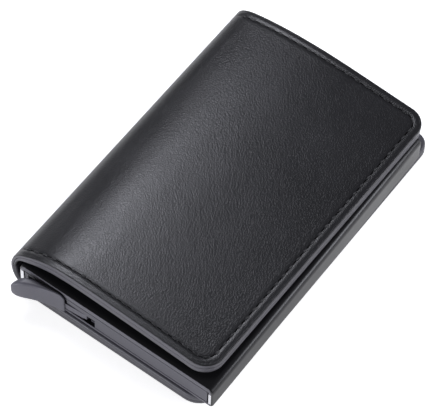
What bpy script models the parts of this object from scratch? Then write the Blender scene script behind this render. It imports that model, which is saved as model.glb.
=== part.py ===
"""Leather card wallet: a leather wrap around a flat aluminium card case with a thumb lever.

Axes: +X runs from the spine to the free edge of the front flap, +Y from the lever end to the
mouth where the cards come out, and +Z up through the thickness. The wallet lies on its back
panel. The origin is on the resting face of the back panel, under the centre of the case.
All lengths are in metres.
"""
import math

import bmesh
import bpy

MM = 0.001

# Clearances
FIT_GAP = 0.3 * MM
CUT_OVERRUN = 1.0 * MM

# Card case, an extruded aluminium sleeve
CASE_WIDTH = 62.5 * MM
CASE_LENGTH = 95.0 * MM
CASE_HEIGHT = 8.6 * MM
CASE_SIDE_WALL = 1.4 * MM
CASE_TOP_WALL = 1.6 * MM
CASE_FLOOR_WALL = 1.0 * MM
CASE_EDGE_RADIUS = 0.7 * MM
CASE_EDGE_STEPS = 3

# Layers of the back panel, from the resting face up
COVER_LEATHER = 1.0 * MM
BACK_BOARD = 0.6 * MM
BACK_LINING = 0.7 * MM
ADHESIVE = 0.2 * MM
ADHESIVE_MARGIN = 4.0 * MM

# Layers of the front flap, from its outside in
FLAP_BOARD = 0.5 * MM
FLAP_BORDER = 2.0 * MM
FLAP_LINING = 0.6 * MM
BOARD_MARGIN = 2.2 * MM

# Slip pockets sewn in the recess inside the flap's thick border
POCKET_LEATHER = 0.4 * MM
BORDER_WIDTH = 4.2 * MM
UPPER_POCKET_DEPTH = 44.0 * MM
LOWER_POCKET_DEPTH = 34.0 * MM
RECESS_DEPTH = 50.0 * MM

# Plan of the wrap against the case
WRAP_NEAR_SETBACK = 0.75 * MM
WRAP_FAR_OVERHANG = 4.15 * MM
BACK_NEAR_OVERHANG = 0.7 * MM
BACK_FAR_OVERHANG = 6.6 * MM
BACK_TAPER = 4.0 * MM
FLAP_INSET_NEAR = 1.6 * MM
FLAP_INSET_FAR = 0.8 * MM
BACK_INSET_NEAR = 1.4 * MM
BACK_INSET_FAR = 0.5 * MM
FLAP_CORNER_RADIUS = 5.8 * MM
BACK_NEAR_CORNER_RADIUS = 7.0 * MM
BACK_FAR_CORNER_RADIUS = 4.0 * MM
CORNER_STEPS = 8

# Spine, where the leather bends round the side of the case: snug at the far end, loose at the
# lever end, where the flap also stands higher
SPINE_STAND_NEAR = 3.7 * MM
SPINE_STAND_FAR = 1.9 * MM
SPINE_LINING = 0.3 * MM
CROWN_RISE_NEAR = 9.3 * MM
CROWN_RISE_FAR = 6.5 * MM
LOWER_BEND_RADIUS = 3.0 * MM
BEND_SPLIT_DEG = 45.0
BEND_STEPS = 6

# Outside of the spine and flap in end view: share of the way from the spine to the free edge,
# then shares of the rise from the middle of the spine to the crown at the near and far ends.
# The lining of the spine stops after its foot, and the layers of the flap start after the bend.
SPINE_FOOT_SHARES = [(0.0, 0.0, 0.0), (0.001, 0.10, 0.18)]
SPINE_TOP_SHARES = [(0.007, 0.23, 0.37), (0.016, 0.36, 0.50)]
SPLIT_SHARES = [(0.030, 0.47, 0.60)]
BEND_SHARES = [(0.054, 0.585, 0.70), (0.082, 0.68, 0.775)]
FLAP_SHARES = [(0.113, 0.765, 0.825), (0.156, 0.86, 0.872), (0.207, 0.94, 0.916),
               (0.26, 0.982, 0.952), (0.307, 0.996, 0.973), (0.361, 1.0, 0.989),
               (0.483, 0.983, 0.998), (0.617, 0.95, 0.962), (0.741, 0.915, 0.914),
               (0.866, 0.875, 0.86), (1.0, 0.833, 0.81)]

# Moulded end cap at the lever end of the case
CAP_SIDE_WALL = 1.2 * MM
CAP_SIDE_DEPTH = 14.0 * MM
CAP_FRONT_WALL = 1.8 * MM
CAP_BRIDGE_HEIGHT = 0.8 * MM
CAP_ROOF_HEIGHT = 2.0 * MM
CAP_FLOOR_HEIGHT = 0.6 * MM
CAP_PAD_REACH = 2.4 * MM
CAP_FLOOR_LEFT_REACH = 3.4 * MM
CAP_ROOF_LEFT_REACH = 4.0 * MM
CAP_FLOOR_SETBACK = 1.0 * MM
SLOT_LEFT = 15.5 * MM
SLOT_RIGHT = 24.6 * MM

# Pivot of the lever, from the left side and the lever end of the case
PIVOT_X = 26.0 * MM
PIVOT_Y = 4.4 * MM
PIN_RADIUS = 1.0 * MM
PIN_SEGMENTS = 24
PIN_CHAMFER = 0.2 * MM
PIN_CLEARANCE = 0.08 * MM

# Lever: thumb tab, body, neck, hub and stepped card arm
TAB_LEFT = 0.8 * MM
TAB_RIGHT = 15.2 * MM
TAB_PROUD = 5.2 * MM
TAB_LOW = 0.6 * MM
TAB_TOP_DROP = 0.3 * MM
TAB_CORNER_RADIUS = 2.0 * MM
TAB_END_RADIUS = 3.5 * MM
TAB_FRONT_SHARES = [(0.0, 0.13), (0.18, 0.22), (0.36, 0.36), (0.52, 0.51), (0.66, 0.66),
                    (0.79, 0.82), (0.90, 0.96), (0.955, 1.0), (0.99, 0.96), (1.0, 0.88)]
TAB_BACK_SHARES = [(0.985, 0.77), (0.95, 0.66), (0.88, 0.44), (0.76, 0.26), (0.60, 0.15),
                   (0.30, 0.08), (0.0, 0.06)]
BODY_LEFT = 4.5 * MM
BODY_RIGHT = 14.0 * MM
BODY_BACK = 5.4 * MM
BODY_PROUD = 0.5 * MM
BODY_TOP_DROP = 0.4 * MM
NECK_PROUD = 0.4 * MM
NECK_FRONT_SETBACK = 0.2 * MM
NECK_FRONT_X = 21.9 * MM
NECK_ROOT_X = 22.4 * MM
NECK_ROOT_Y = 3.65 * MM
LIP_RIGHT = 20.7 * MM
HUB_RADIUS = 2.2 * MM
HUB_ARC_START_DEG = 235.0
HUB_STEPS = 8
LINK_FRONT = 1.5 * MM
ARM_START = 4.0 * MM
ARM_FRONT = 1.8 * MM
ARM_BACK = 2.7 * MM
ARM_TIP_CLEARANCE = 2.1 * MM
ARM_STEP_BACK = 4.5 * MM
ARM_LAYERS = 4

# Friction strips that hold the cards between the side walls
STRIP_THICKNESS = 2.3 * MM
STRIP_START = 16.0 * MM
STRIP_LENGTH = 64.0 * MM

# Heights worked out from the layers
BACK_BOARD_LOW = COVER_LEATHER + FIT_GAP
BACK_LINING_LOW = BACK_BOARD_LOW + BACK_BOARD + FIT_GAP
ADHESIVE_LOW = BACK_LINING_LOW + BACK_LINING + FIT_GAP
CASE_LOW = ADHESIVE_LOW + ADHESIVE + FIT_GAP
CASE_TOP = CASE_LOW + CASE_HEIGHT
INNER_LOW = CASE_LOW + CASE_FLOOR_WALL
INNER_TOP = CASE_TOP - CASE_TOP_WALL
SPINE_MIDDLE = CASE_LOW + CASE_HEIGHT / 2

# Depths of the flap's layers under its outside
BOARD_DEPTH = COVER_LEATHER + FIT_GAP
BORDER_DEPTH = BOARD_DEPTH + FLAP_BOARD + FIT_GAP
UPPER_POCKET_DEPTH_IN = BORDER_DEPTH + FLAP_LINING + FIT_GAP
LOWER_POCKET_DEPTH_IN = UPPER_POCKET_DEPTH_IN + POCKET_LEATHER + FIT_GAP

# Places worked out from the case and the wrap
CASE_LEFT = -CASE_WIDTH / 2
CASE_RIGHT = CASE_WIDTH / 2
CASE_NEAR = -CASE_LENGTH / 2
CASE_FAR = CASE_LENGTH / 2
WRAP_NEAR = CASE_NEAR + WRAP_NEAR_SETBACK
WRAP_FAR = CASE_FAR + WRAP_FAR_OVERHANG
BACK_NEAR = CASE_NEAR - BACK_NEAR_OVERHANG
BACK_FAR = CASE_FAR + BACK_FAR_OVERHANG
SPINE_NEAR_X = CASE_LEFT - SPINE_STAND_NEAR
SPINE_FAR_X = CASE_LEFT - SPINE_STAND_FAR
FLAP_RIGHT_NEAR = CASE_RIGHT - FLAP_INSET_NEAR
FLAP_RIGHT_FAR = CASE_RIGHT - FLAP_INSET_FAR
BACK_RIGHT_NEAR = CASE_RIGHT - BACK_INSET_NEAR
BACK_RIGHT_FAR = CASE_RIGHT - BACK_INSET_FAR
CROWN_NEAR = CASE_TOP + CROWN_RISE_NEAR
CROWN_FAR = CASE_TOP + CROWN_RISE_FAR
CAP_LOW = INNER_LOW + FIT_GAP
CAP_TOP = INNER_TOP - FIT_GAP
CAP_LEFT = CASE_LEFT + CASE_SIDE_WALL + FIT_GAP
CAP_RIGHT = -CAP_LEFT
PIVOT_AT = (CASE_LEFT + PIVOT_X, CASE_NEAR + PIVOT_Y)
ARM_REACH = CAP_RIGHT - CAP_SIDE_WALL - PIVOT_AT[0] - ARM_TIP_CLEARANCE
LEVER_LOW = INNER_LOW + FIT_GAP + CAP_FLOOR_HEIGHT + FIT_GAP
LEVER_HUB_TOP = CAP_TOP - CAP_ROOF_HEIGHT - FIT_GAP

PIECES = "card_wallet"
CUTTERS = "cutters"


def start_empty():
    """Clear the scene and make the two collections."""
    for old in list(bpy.data.objects):
        bpy.data.objects.remove(old, do_unlink=True)
    for name in (PIECES, CUTTERS):
        collection = bpy.data.collections.new(name)
        bpy.context.scene.collection.children.link(collection)


def arc(centre_x, centre_y, radius, start_deg, end_deg, steps):
    """Points along a circular arc, both ends included."""
    points = []
    for step in range(steps + 1):
        angle = math.radians(start_deg + (end_deg - start_deg) * step / steps)
        points.append((centre_x + radius * math.cos(angle), centre_y + radius * math.sin(angle)))
    return points


def right_end(right_near, right_far, near, far, near_radius, far_radius):
    """The right-hand end of a panel seen from above, from its near edge to its far edge."""
    points = arc(right_near - near_radius, near + near_radius, near_radius, -90, 0, CORNER_STEPS)
    points += arc(right_far - far_radius, far - far_radius, far_radius, 0, 90, CORNER_STEPS)
    return points


def flap_outline(left, margin):
    """The flap seen from above, set in by a margin and starting at its own left edge."""
    radius = FLAP_CORNER_RADIUS - margin
    points = [(left, WRAP_NEAR + margin)]
    points += right_end(FLAP_RIGHT_NEAR - margin, FLAP_RIGHT_FAR - margin, WRAP_NEAR + margin,
                        WRAP_FAR - margin, radius, radius)
    points.append((left, WRAP_FAR - margin))
    return points


def back_outline(margin):
    """The back panel seen from above, set in by a margin and starting beside the spine."""
    near = BACK_NEAR + margin
    far = BACK_FAR - margin
    points = [(SPINE_NEAR_X + LOWER_BEND_RADIUS + BACK_TAPER, near)]
    points += right_end(BACK_RIGHT_NEAR - margin, BACK_RIGHT_FAR - margin, near, far,
                        BACK_NEAR_CORNER_RADIUS - margin, BACK_FAR_CORNER_RADIUS - margin)
    points.append((SPINE_FAR_X + LOWER_BEND_RADIUS + BACK_TAPER, far))
    return points


def clean(mesh):
    """Weld the caps of a filled outline and turn every face outwards."""
    working = bmesh.new()
    working.from_mesh(mesh)
    bmesh.ops.remove_doubles(working, verts=working.verts, dist=FIT_GAP / 100)
    bmesh.ops.recalc_face_normals(working, faces=working.faces)
    working.to_mesh(mesh)
    working.free()


def filled_outline(name, outline, thickness, rotation_x, location):
    """Give a flat outline a thickness, as a mesh object in the pieces' collection."""
    curve = bpy.data.curves.new(name + "_outline", "CURVE")
    curve.dimensions = "2D"
    curve.fill_mode = "BOTH"
    curve.extrude = thickness / 2
    spline = curve.splines.new("POLY")
    spline.points.add(len(outline) - 1)
    for point, place in zip(spline.points, outline):
        point.co = (place[0], place[1], 0, 1)
    spline.use_cyclic_u = True
    holder = bpy.data.objects.new(name + "_outline", curve)
    holder.rotation_euler.x = rotation_x
    holder.location = location
    bpy.data.collections[PIECES].objects.link(holder)
    bpy.context.view_layer.update()
    evaluated = holder.evaluated_get(bpy.context.evaluated_depsgraph_get())
    mesh = bpy.data.meshes.new_from_object(evaluated)
    mesh.name = name
    mesh.transform(holder.matrix_world)
    clean(mesh)
    piece = bpy.data.objects.new(name, mesh)
    bpy.data.collections[PIECES].objects.link(piece)
    bpy.data.objects.remove(holder)
    bpy.data.curves.remove(curve)
    return piece


def plate(name, outline, low, high):
    """A plan outline in X and Y, solid from low to high in Z."""
    return filled_outline(name, outline, high - low, 0, (0, 0, (low + high) / 2))


def profile(name, outline, near, far):
    """An end-view outline in X and Z, solid from near to far in Y."""
    return filled_outline(name, outline, far - near, math.pi / 2, (0, (near + far) / 2, 0))


def offset_path(path, depth):
    """A path in end view, moved to its right-hand side by a depth."""
    moved = []
    for index, (x, z) in enumerate(path):
        before = path[max(index - 1, 0)]
        after = path[min(index + 1, len(path) - 1)]
        run = after[0] - before[0]
        rise = after[1] - before[1]
        length = math.hypot(run, rise)
        moved.append((x + depth * rise / length, z - depth * run / length))
    return moved


def loft(name, near_path, far_path, near, far, depth, thickness):
    """A layer of leather or board between its end views at the near and far ends."""
    rings = []
    mesh = bpy.data.meshes.new(name)
    working = bmesh.new()
    for path, y in ((near_path, near), (far_path, far)):
        outside = offset_path(path, depth)
        inside = offset_path(path, depth + thickness)
        rings.append([working.verts.new((x, y, z)) for x, z in outside + inside[::-1]])
    count = len(rings[0])
    for index in range(count):
        following = (index + 1) % count
        working.faces.new((rings[0][index], rings[0][following],
                           rings[1][following], rings[1][index]))
    for ring in rings:
        working.faces.new(ring)
    bmesh.ops.triangulate(working, faces=working.faces)
    bmesh.ops.recalc_face_normals(working, faces=working.faces)
    working.to_mesh(mesh)
    working.free()
    piece = bpy.data.objects.new(name, mesh)
    bpy.data.collections[PIECES].objects.link(piece)
    return piece


def block(name, left, right, near, far, low, high):
    """A box between two corners, from the cube primitive."""
    mesh = bpy.data.meshes.new(name)
    working = bmesh.new()
    bmesh.ops.create_cube(working, size=1)
    bmesh.ops.scale(working, verts=working.verts, vec=(right - left, far - near, high - low))
    middle = ((left + right) / 2, (near + far) / 2, (low + high) / 2)
    bmesh.ops.translate(working, verts=working.verts, vec=middle)
    working.to_mesh(mesh)
    working.free()
    piece = bpy.data.objects.new(name, mesh)
    bpy.data.collections[PIECES].objects.link(piece)
    return piece


def post(name, centre, radius, low, high, segments):
    """An upright cylinder, from the cone primitive."""
    mesh = bpy.data.meshes.new(name)
    working = bmesh.new()
    bmesh.ops.create_cone(working, cap_ends=True, segments=segments, radius1=radius,
                          radius2=radius, depth=high - low)
    place = (centre[0], centre[1], (low + high) / 2)
    bmesh.ops.translate(working, verts=working.verts, vec=place)
    working.to_mesh(mesh)
    working.free()
    piece = bpy.data.objects.new(name, mesh)
    bpy.data.collections[PIECES].objects.link(piece)
    return piece


def combine(piece, tool, operation):
    """Cut, join or trim a piece with a tool shape, which goes to the cutters' collection."""
    modifier = piece.modifiers.new(tool.name, "BOOLEAN")
    modifier.operation = operation
    modifier.solver = "EXACT"
    modifier.object = tool
    tool.hide_render = True
    tool.display_type = "WIRE"
    bpy.data.collections[PIECES].objects.unlink(tool)
    bpy.data.collections[CUTTERS].objects.link(tool)


def finish(piece, colour, roughness, metallic=0.0):
    """Give a piece its own material and smooth shading on its round faces."""
    material = bpy.data.materials.new(piece.name)
    material.use_nodes = True
    shader = material.node_tree.nodes["Principled BSDF"]
    shader.inputs["Base Color"].default_value = (*colour, 1)
    shader.inputs["Roughness"].default_value = roughness
    shader.inputs["Metallic"].default_value = metallic
    piece.data.materials.clear()
    piece.data.materials.append(material)
    piece.data.shade_smooth()
    piece.data.set_sharp_from_angle(angle=math.radians(30))


def joint_axis(name, place, parent=None):
    """An empty on a joint's axis, which carries the pieces that turn about it."""
    empty = bpy.data.objects.new(name, None)
    bpy.data.collections[PIECES].objects.link(empty)
    empty.location = place
    bpy.context.view_layer.update()
    if parent:
        carry(empty, parent)
    return empty


def carry(piece, axis):
    """Hang a piece on a joint axis, where it stands."""
    piece.parent = axis
    piece.matrix_parent_inverse = axis.matrix_world.inverted()
    bpy.context.view_layer.update()


LEATHER = (0.035, 0.035, 0.040)
LINING = (0.045, 0.045, 0.050)
BOARD = (0.25, 0.22, 0.18)
CASE_COAT = (0.10, 0.10, 0.115)
PLASTIC = (0.13, 0.125, 0.155)
STEEL = (0.62, 0.62, 0.64)
FELT = (0.03, 0.03, 0.03)
TAPE = (0.75, 0.75, 0.72)


def make_case_sleeve():
    """Aluminium sleeve, open at both ends, with its long edges rounded."""
    sleeve = block("case_sleeve", CASE_LEFT, CASE_RIGHT, CASE_NEAR, CASE_FAR, CASE_LOW, CASE_TOP)
    working = bmesh.new()
    working.from_mesh(sleeve.data)
    long_edges = [edge for edge in working.edges
                  if abs(edge.verts[0].co.y - edge.verts[1].co.y) > CASE_LENGTH / 2]
    bmesh.ops.bevel(working, geom=long_edges, offset=CASE_EDGE_RADIUS, offset_type="OFFSET",
                    segments=CASE_EDGE_STEPS, profile=0.5, affect="EDGES")
    working.to_mesh(sleeve.data)
    working.free()
    bore = block("sleeve_bore", CASE_LEFT + CASE_SIDE_WALL, CASE_RIGHT - CASE_SIDE_WALL,
                 CASE_NEAR - CUT_OVERRUN, CASE_FAR + CUT_OVERRUN, INNER_LOW, INNER_TOP)
    combine(sleeve, bore, "DIFFERENCE")
    finish(sleeve, CASE_COAT, 0.42, 0.6)


def make_end_cap():
    """Plastic frame in the lever end of the sleeve, with the lever's slot and pivot seats."""
    cap = block("end_cap", CAP_LEFT, CAP_RIGHT, CASE_NEAR, CASE_NEAR + CAP_SIDE_DEPTH,
                CAP_LOW, CAP_TOP)
    cavity = block("cap_cavity", CAP_LEFT + CAP_SIDE_WALL, CAP_RIGHT - CAP_SIDE_WALL,
                   CASE_NEAR + CAP_FRONT_WALL, CASE_NEAR + CAP_SIDE_DEPTH + CUT_OVERRUN,
                   CAP_LOW - CUT_OVERRUN, CAP_TOP + CUT_OVERRUN)
    combine(cap, cavity, "DIFFERENCE")
    slot_top = CAP_TOP - CAP_ROOF_HEIGHT
    slot = block("cap_slot", CASE_LEFT + SLOT_LEFT - CUT_OVERRUN, CASE_LEFT + SLOT_RIGHT,
                 CASE_NEAR - CUT_OVERRUN, CASE_NEAR + CAP_FRONT_WALL + CUT_OVERRUN,
                 CAP_LOW - CUT_OVERRUN, slot_top)
    combine(cap, slot, "DIFFERENCE")
    pocket = block("cap_pocket", CAP_LEFT + CAP_SIDE_WALL, CASE_LEFT + SLOT_LEFT,
                   CASE_NEAR - CUT_OVERRUN, CASE_NEAR + CAP_FRONT_WALL + CUT_OVERRUN,
                   CAP_LOW - CUT_OVERRUN, CAP_TOP - CAP_BRIDGE_HEIGHT)
    combine(cap, pocket, "DIFFERENCE")
    pad_far = PIVOT_AT[1] + CAP_PAD_REACH
    pad_right = PIVOT_AT[0] + CAP_PAD_REACH
    roof = block("cap_roof", PIVOT_AT[0] - CAP_ROOF_LEFT_REACH, pad_right,
                 CASE_NEAR + CAP_FRONT_WALL / 2, pad_far, slot_top, CAP_TOP)
    combine(cap, roof, "UNION")
    floor_low = CAP_LOW
    floor = block("cap_floor", PIVOT_AT[0] - CAP_FLOOR_LEFT_REACH, pad_right,
                  CASE_NEAR + CAP_FLOOR_SETBACK, pad_far, floor_low, floor_low + CAP_FLOOR_HEIGHT)
    combine(cap, floor, "UNION")
    hole = post("cap_pin_hole", PIVOT_AT, PIN_RADIUS + PIN_CLEARANCE, CAP_LOW - CUT_OVERRUN,
                CAP_TOP + CUT_OVERRUN, PIN_SEGMENTS)
    combine(cap, hole, "DIFFERENCE")
    finish(cap, PLASTIC, 0.45)


def make_pivot_pin():
    """Steel pin that the lever turns on, seated in the cap's roof and floor."""
    pin = post("pivot_pin", PIVOT_AT, PIN_RADIUS, CAP_LOW, CAP_TOP, PIN_SEGMENTS)
    chamfer = pin.modifiers.new("end_chamfer", "BEVEL")
    chamfer.width = PIN_CHAMFER
    chamfer.segments = 1
    chamfer.limit_method = "ANGLE"
    chamfer.angle_limit = math.radians(60)
    finish(pin, STEEL, 0.25, 1.0)


def tab_outline():
    """Plan of the thumb tab: flush at its root, flared and rounded at its tip."""
    root_x = CASE_LEFT + TAB_RIGHT
    length = TAB_RIGHT - TAB_LEFT
    points = [(root_x + CUT_OVERRUN, CASE_NEAR - TAB_BACK_SHARES[-1][1] * TAB_PROUD),
              (root_x + CUT_OVERRUN, CASE_NEAR - TAB_FRONT_SHARES[0][1] * TAB_PROUD)]
    for along_share, proud_share in TAB_FRONT_SHARES + TAB_BACK_SHARES:
        points.append((root_x - along_share * length, CASE_NEAR - proud_share * TAB_PROUD))
    return points


def neck_outline():
    """Plan of the flat web that runs from the body through the slot and round the hub."""
    near = CASE_NEAR
    hub_x, hub_y = PIVOT_AT
    web_left = CASE_LEFT + BODY_LEFT + CAP_SIDE_WALL
    link_turn = math.degrees(math.asin(LINK_FRONT / HUB_RADIUS))
    points = [(web_left, near + BODY_BACK - FIT_GAP), (web_left, near),
              (CASE_LEFT + BODY_RIGHT, near - NECK_PROUD),
              (CASE_LEFT + NECK_FRONT_X, near + NECK_FRONT_SETBACK),
              (CASE_LEFT + NECK_ROOT_X, near + NECK_ROOT_Y)]
    points += arc(hub_x, hub_y, HUB_RADIUS, HUB_ARC_START_DEG, 360 - link_turn, HUB_STEPS)
    points += [(hub_x + ARM_START + FIT_GAP, hub_y - LINK_FRONT),
               (hub_x + ARM_START + FIT_GAP, hub_y + HUB_RADIUS),
               (hub_x, hub_y + HUB_RADIUS)]
    return points


def lip_outline():
    """Plan of the lower lip, just behind the front of the neck."""
    near = CASE_NEAR
    run = NECK_FRONT_X - BODY_RIGHT
    rise = NECK_FRONT_SETBACK + NECK_PROUD
    lip_left = BODY_RIGHT - FIT_GAP
    front_left = near - NECK_PROUD + (lip_left - BODY_RIGHT) * rise / run + FIT_GAP
    front_right = near - NECK_PROUD + (LIP_RIGHT - BODY_RIGHT) * rise / run + FIT_GAP
    back = near + BODY_BACK - 2 * FIT_GAP
    return [(CASE_LEFT + lip_left, back), (CASE_LEFT + lip_left, front_left),
            (CASE_LEFT + LIP_RIGHT, front_right), (CASE_LEFT + LIP_RIGHT, back)]


def arm_profile():
    """End view of the stepped arm: the lowest layer reaches farthest."""
    start_x = PIVOT_AT[0] + ARM_START
    layer_height = (CAP_TOP - CAP_LOW) / ARM_LAYERS
    points = [(start_x, CAP_LOW)]
    for layer in range(ARM_LAYERS):
        reach_x = PIVOT_AT[0] + ARM_REACH - layer * ARM_STEP_BACK
        points.append((reach_x, CAP_LOW + layer * layer_height))
        points.append((reach_x, CAP_LOW + (layer + 1) * layer_height))
    points.append((start_x, CAP_TOP))
    return points


def make_lever(axis):
    """Rocking lever: thumb tab outside, stepped arm inside that pushes the cards out in a fan."""
    near = CASE_NEAR
    tab_low = CASE_LOW + TAB_LOW
    tab_top = CASE_TOP - TAB_TOP_DROP
    lever = plate("lever", tab_outline(), tab_low - CUT_OVERRUN, tab_top + CUT_OVERRUN)
    tab_right = CASE_LEFT + TAB_RIGHT
    tab_left = CASE_LEFT + TAB_LEFT
    face = [(tab_right, tab_low)]
    face += arc(tab_right - TAB_CORNER_RADIUS, tab_top - TAB_CORNER_RADIUS, TAB_CORNER_RADIUS,
                0, 90, CORNER_STEPS)
    face += arc(tab_left + TAB_END_RADIUS, tab_top - TAB_END_RADIUS, TAB_END_RADIUS,
                90, 180, CORNER_STEPS)
    face += arc(tab_left + TAB_END_RADIUS, tab_low + TAB_END_RADIUS, TAB_END_RADIUS,
                180, 270, CORNER_STEPS)
    trim = profile("tab_trim", face, near - TAB_PROUD - CUT_OVERRUN, near + CUT_OVERRUN)
    combine(lever, trim, "INTERSECT")
    body = block("lever_body", CASE_LEFT + BODY_LEFT, CASE_LEFT + BODY_RIGHT,
                 near - BODY_PROUD, near + BODY_BACK, CAP_LOW,
                 CAP_TOP - CAP_BRIDGE_HEIGHT - BODY_TOP_DROP)
    combine(lever, body, "UNION")
    neck = plate("lever_neck", neck_outline(), LEVER_LOW, LEVER_HUB_TOP)
    combine(lever, neck, "UNION")
    lip_low = CAP_LOW + FIT_GAP
    lip = plate("lever_lip", lip_outline(), lip_low, (LEVER_LOW + LEVER_HUB_TOP) / 2)
    combine(lever, lip, "UNION")
    arm = profile("lever_arm", arm_profile(), PIVOT_AT[1] - ARM_FRONT, PIVOT_AT[1] + ARM_BACK)
    combine(lever, arm, "UNION")
    bore = post("lever_bore", PIVOT_AT, PIN_RADIUS + PIN_CLEARANCE, CASE_LOW, CASE_TOP, PIN_SEGMENTS)
    combine(lever, bore, "DIFFERENCE")
    finish(lever, PLASTIC, 0.42)
    carry(lever, axis)


def make_friction_strips():
    """Felt strips along the inside of the side walls, which grip the cards."""
    near = CASE_NEAR + STRIP_START
    far = near + STRIP_LENGTH
    wall = CASE_RIGHT - CASE_SIDE_WALL - FIT_GAP
    for side, name in ((-1, "friction_strip_left"), (1, "friction_strip_right")):
        inner = side * (wall - STRIP_THICKNESS)
        outer = side * wall
        strip = block(name, min(inner, outer), max(inner, outer), near, far, CAP_LOW, CAP_TOP)
        finish(strip, FELT, 0.95)


def lower_bend(spine_x, start_deg, end_deg):
    """Outside of the bend between the back panel and the spine."""
    return arc(spine_x + LOWER_BEND_RADIUS, LOWER_BEND_RADIUS, LOWER_BEND_RADIUS,
               start_deg, end_deg, BEND_STEPS)


def upper_path(shares, at_far_end):
    """Outside of the wrap in end view at the places that a list of shares names."""
    spine_x = SPINE_FAR_X if at_far_end else SPINE_NEAR_X
    right = FLAP_RIGHT_FAR if at_far_end else FLAP_RIGHT_NEAR
    crown = CROWN_FAR if at_far_end else CROWN_NEAR
    path = []
    for across_share, near_share, far_share in shares:
        rise_share = far_share if at_far_end else near_share
        path.append((spine_x + across_share * (right - spine_x),
                     SPINE_MIDDLE + rise_share * (crown - SPINE_MIDDLE)))
    return path


def towards(start, end, distance):
    """The point at a distance from start on the line to end."""
    length = math.hypot(end[0] - start[0], end[1] - start[1])
    share = distance / length
    return (start[0] + share * (end[0] - start[0]), start[1] + share * (end[1] - start[1]))


def make_back_panel():
    """Back of the wrap: outer leather, board and lining, with the tape that holds the case."""
    split_turn = math.degrees(FIT_GAP / 2 / LOWER_BEND_RADIUS)
    bend_end = 270 - BEND_SPLIT_DEG + split_turn
    paths = []
    for spine_x, right in ((SPINE_NEAR_X, BACK_RIGHT_NEAR), (SPINE_FAR_X, BACK_RIGHT_FAR)):
        paths.append([(right + CUT_OVERRUN, 0)] + lower_bend(spine_x, 270, bend_end))
    cover = loft("back_cover", *paths, BACK_NEAR, BACK_FAR, 0, COVER_LEATHER)
    bend_near = (SPINE_NEAR_X + LOWER_BEND_RADIUS, WRAP_NEAR)
    bend_far = (SPINE_FAR_X + LOWER_BEND_RADIUS, WRAP_FAR)
    past_spine = SPINE_NEAR_X - CUT_OVERRUN
    cover_plan = back_outline(0) + [bend_far, (past_spine, WRAP_FAR), (past_spine, WRAP_NEAR),
                                    bend_near]
    trim = plate("back_cover_trim", cover_plan, -CUT_OVERRUN, CASE_TOP)
    combine(cover, trim, "INTERSECT")
    finish(cover, LEATHER, 0.5)
    board = plate("back_board", back_outline(BOARD_MARGIN), BACK_BOARD_LOW,
                  BACK_BOARD_LOW + BACK_BOARD)
    finish(board, BOARD, 0.9)
    lining = plate("back_lining", back_outline(0) + [bend_far, bend_near], BACK_LINING_LOW,
                   BACK_LINING_LOW + BACK_LINING)
    finish(lining, LINING, 0.6)
    tape = block("case_adhesive", CASE_LEFT + ADHESIVE_MARGIN, BACK_RIGHT_NEAR - ADHESIVE_MARGIN,
                 CASE_NEAR + ADHESIVE_MARGIN, CASE_FAR - ADHESIVE_MARGIN, ADHESIVE_LOW,
                 ADHESIVE_LOW + ADHESIVE)
    finish(tape, TAPE, 0.7)


def make_spine(axis):
    """Spine of the wrap: outer leather, with a thin lining up to the top edge of the case."""
    lower_turn = math.degrees(FIT_GAP / 2 / LOWER_BEND_RADIUS)
    lower_start = 270 - BEND_SPLIT_DEG - lower_turn
    cover_paths = []
    lining_paths = []
    for spine_x, at_far_end in ((SPINE_NEAR_X, False), (SPINE_FAR_X, True)):
        bend = lower_bend(spine_x, lower_start, 180)
        foot = upper_path(SPINE_FOOT_SHARES, at_far_end)
        top = upper_path(SPINE_TOP_SHARES, at_far_end)
        split = upper_path(SPLIT_SHARES, at_far_end)[0]
        cover_paths.append(bend + foot + top + [towards(split, top[-1], FIT_GAP / 2)])
        lining_paths.append(bend + foot)
    cover = loft("spine_cover", *cover_paths, WRAP_NEAR, WRAP_FAR, 0, COVER_LEATHER)
    finish(cover, LEATHER, 0.5)
    carry(cover, axis)
    lining = loft("spine_lining", *lining_paths, WRAP_NEAR, WRAP_FAR,
                  COVER_LEATHER + FIT_GAP, SPINE_LINING)
    finish(lining, LINING, 0.6)
    carry(lining, axis)


def flap_layer(name, depth, thickness, plan, with_bend=False):
    """A domed layer of the flap, cut to its outline seen from above."""
    paths = []
    for at_far_end in (False, True):
        path = upper_path(FLAP_SHARES, at_far_end)
        if with_bend:
            bend = upper_path(BEND_SHARES, at_far_end)
            split = upper_path(SPLIT_SHARES, at_far_end)[0]
            path = [towards(split, bend[0], FIT_GAP / 2)] + bend + path
        path.append(towards(path[-1], path[-2], -CUT_OVERRUN))
        paths.append(path)
    layer = loft(name, *paths, WRAP_NEAR - CUT_OVERRUN, WRAP_FAR + CUT_OVERRUN, depth, thickness)
    trim = plate(name + "_trim", plan, CASE_LOW, CROWN_NEAR + CUT_OVERRUN)
    combine(layer, trim, "INTERSECT")
    return layer


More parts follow.
